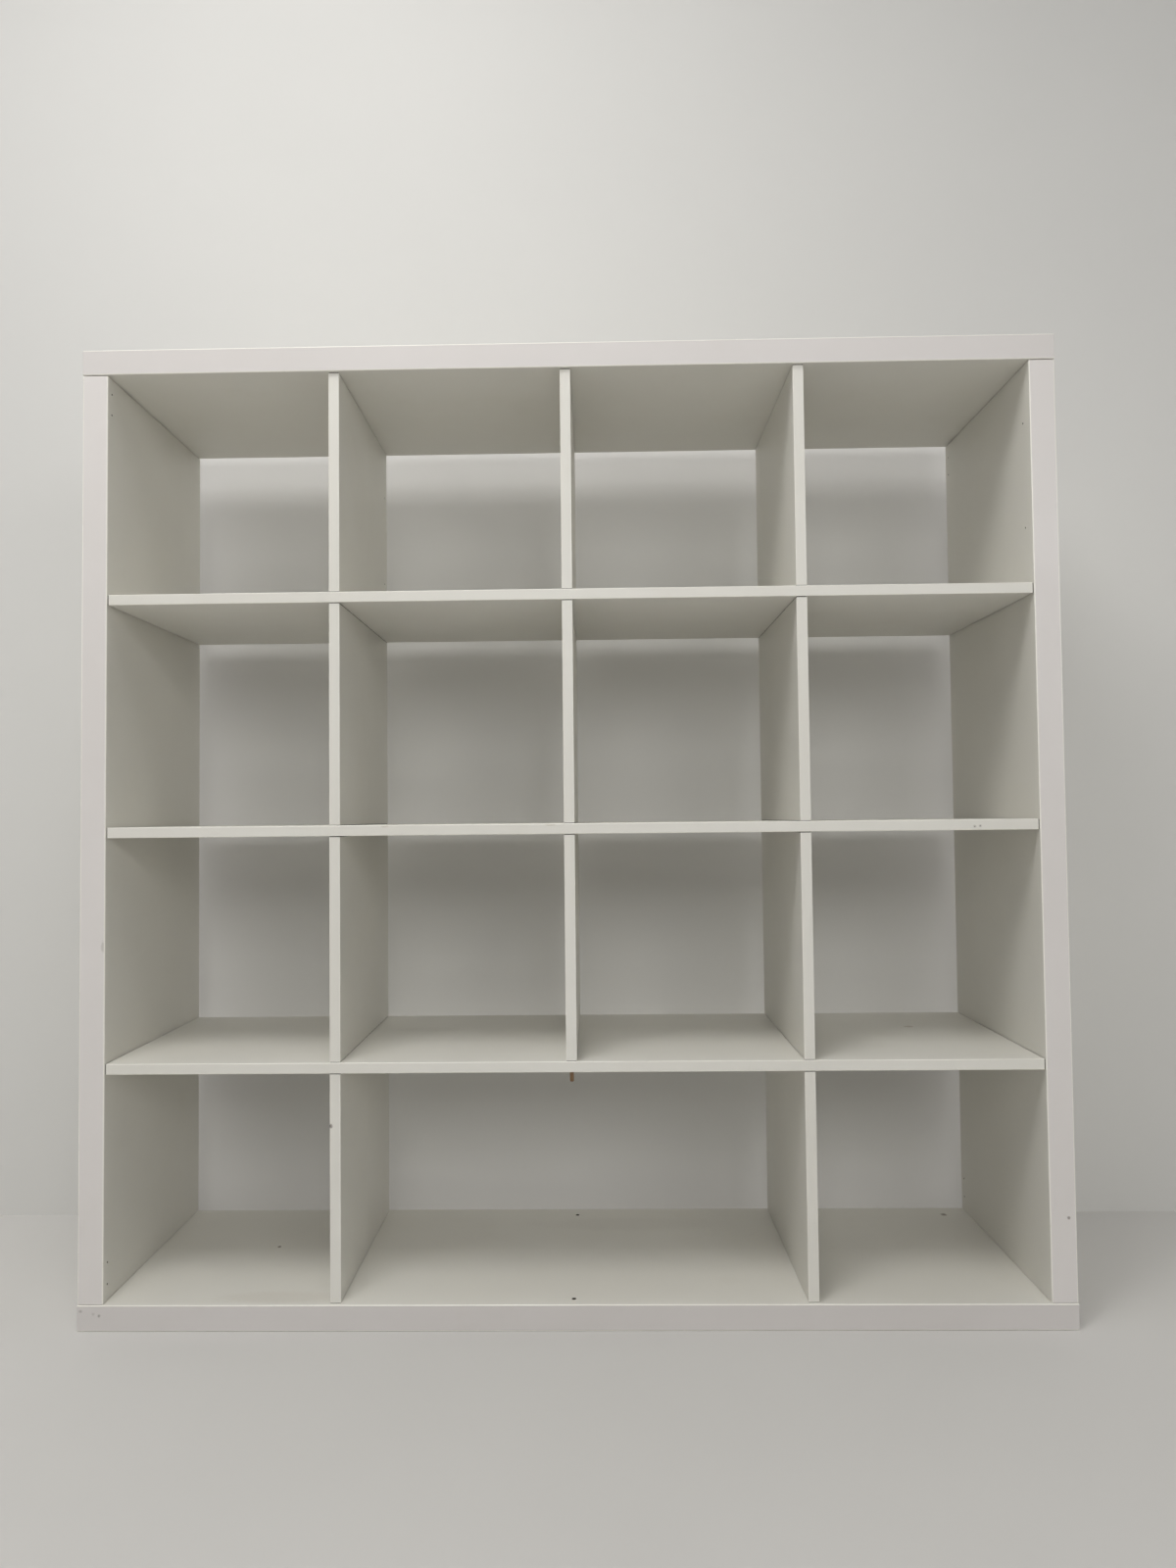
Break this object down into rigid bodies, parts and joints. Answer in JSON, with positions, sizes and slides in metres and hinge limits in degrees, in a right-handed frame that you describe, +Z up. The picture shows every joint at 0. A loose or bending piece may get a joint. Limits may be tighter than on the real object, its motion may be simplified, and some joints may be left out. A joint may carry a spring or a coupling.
{
  "type": "cube storage unit",
  "caption": "Open-backed white cube shelf with a thick hollow-core frame, through shelves and short dowelled dividers; one divider of the bottom row is missing.",
  "frame": {"origin": "on the floor under the middle of the unit, at the centre of the bottom face of its box", "axes": "+X to the right and +Z up as seen from the front, +Y from the front to the open back, which is the unit's shortest extent"},
  "size_m": [1.47, 0.39, 1.47],
  "materials": {
    "white_foil": "smooth white foil on board, satin",
    "white_edge_band": "white edge band, satin, with a small radius",
    "particleboard": "raw particleboard",
    "honeycomb_paper": "brown paper honeycomb",
    "dowel_wood": "fluted hardwood dowel, unfinished",
    "screw_steel": "zinc-plated steel"
  },
  "bodies": {
    "root": {"bottom_panel_edge_band": "white_edge_band", "bottom_panel_lower_skin": "white_foil", "bottom_panel_upper_skin": "white_foil", "bottom_panel_rails": "particleboard", "bottom_panel_honeycomb": "honeycomb_paper", "top_panel_edge_band": "white_edge_band", "top_panel_lower_skin": "white_foil", "top_panel_upper_skin": "white_foil", "top_panel_rails": "particleboard", "top_panel_honeycomb": "honeycomb_paper", "left_side_edge_band": "white_edge_band", "left_side_outer_skin": "white_foil", "left_side_inner_skin": "white_foil", "left_side_rails": "particleboard", "left_side_honeycomb": "honeycomb_paper", "right_side_edge_band": "white_edge_band", "right_side_inner_skin": "white_foil", "right_side_outer_skin": "white_foil", "right_side_rails": "particleboard", "right_side_honeycomb": "honeycomb_paper", "shelf_lower": "white_foil", "shelf_middle": "white_foil", "shelf_upper": "white_foil", "divider_row_1_left": "white_foil", "divider_row_1_right": "white_foil", "divider_row_2_left": "white_foil", "divider_row_2_centre": "white_foil", "divider_row_2_right": "white_foil", "divider_row_3_left": "white_foil", "divider_row_3_centre": "white_foil", "divider_row_3_right": "white_foil", "divider_row_4_left": "white_foil", "divider_row_4_centre": "white_foil", "divider_row_4_right": "white_foil", "dowel_lower_left_front": "dowel_wood", "dowel_lower_left_back": "dowel_wood", "dowel_lower_centre_front": "dowel_wood", "dowel_lower_centre_back": "dowel_wood", "dowel_lower_right_front": "dowel_wood", "dowel_lower_right_back": "dowel_wood", "dowel_middle_left_front": "dowel_wood", "dowel_middle_left_back": "dowel_wood", "dowel_middle_centre_front": "dowel_wood", "dowel_middle_centre_back": "dowel_wood", "dowel_middle_right_front": "dowel_wood", "dowel_middle_right_back": "dowel_wood", "dowel_upper_left_front": "dowel_wood", "dowel_upper_left_back": "dowel_wood", "dowel_upper_centre_front": "dowel_wood", "dowel_upper_centre_back": "dowel_wood", "dowel_upper_right_front": "dowel_wood", "dowel_upper_right_back": "dowel_wood", "screw_top_left_front": "screw_steel", "screw_top_left_back": "screw_steel", "screw_top_right_front": "screw_steel", "screw_top_right_back": "screw_steel", "screw_bottom_left_front": "screw_steel", "screw_bottom_left_back": "screw_steel", "screw_bottom_right_front": "screw_steel", "screw_bottom_right_back": "screw_steel"}
  },
  "joints": []
}
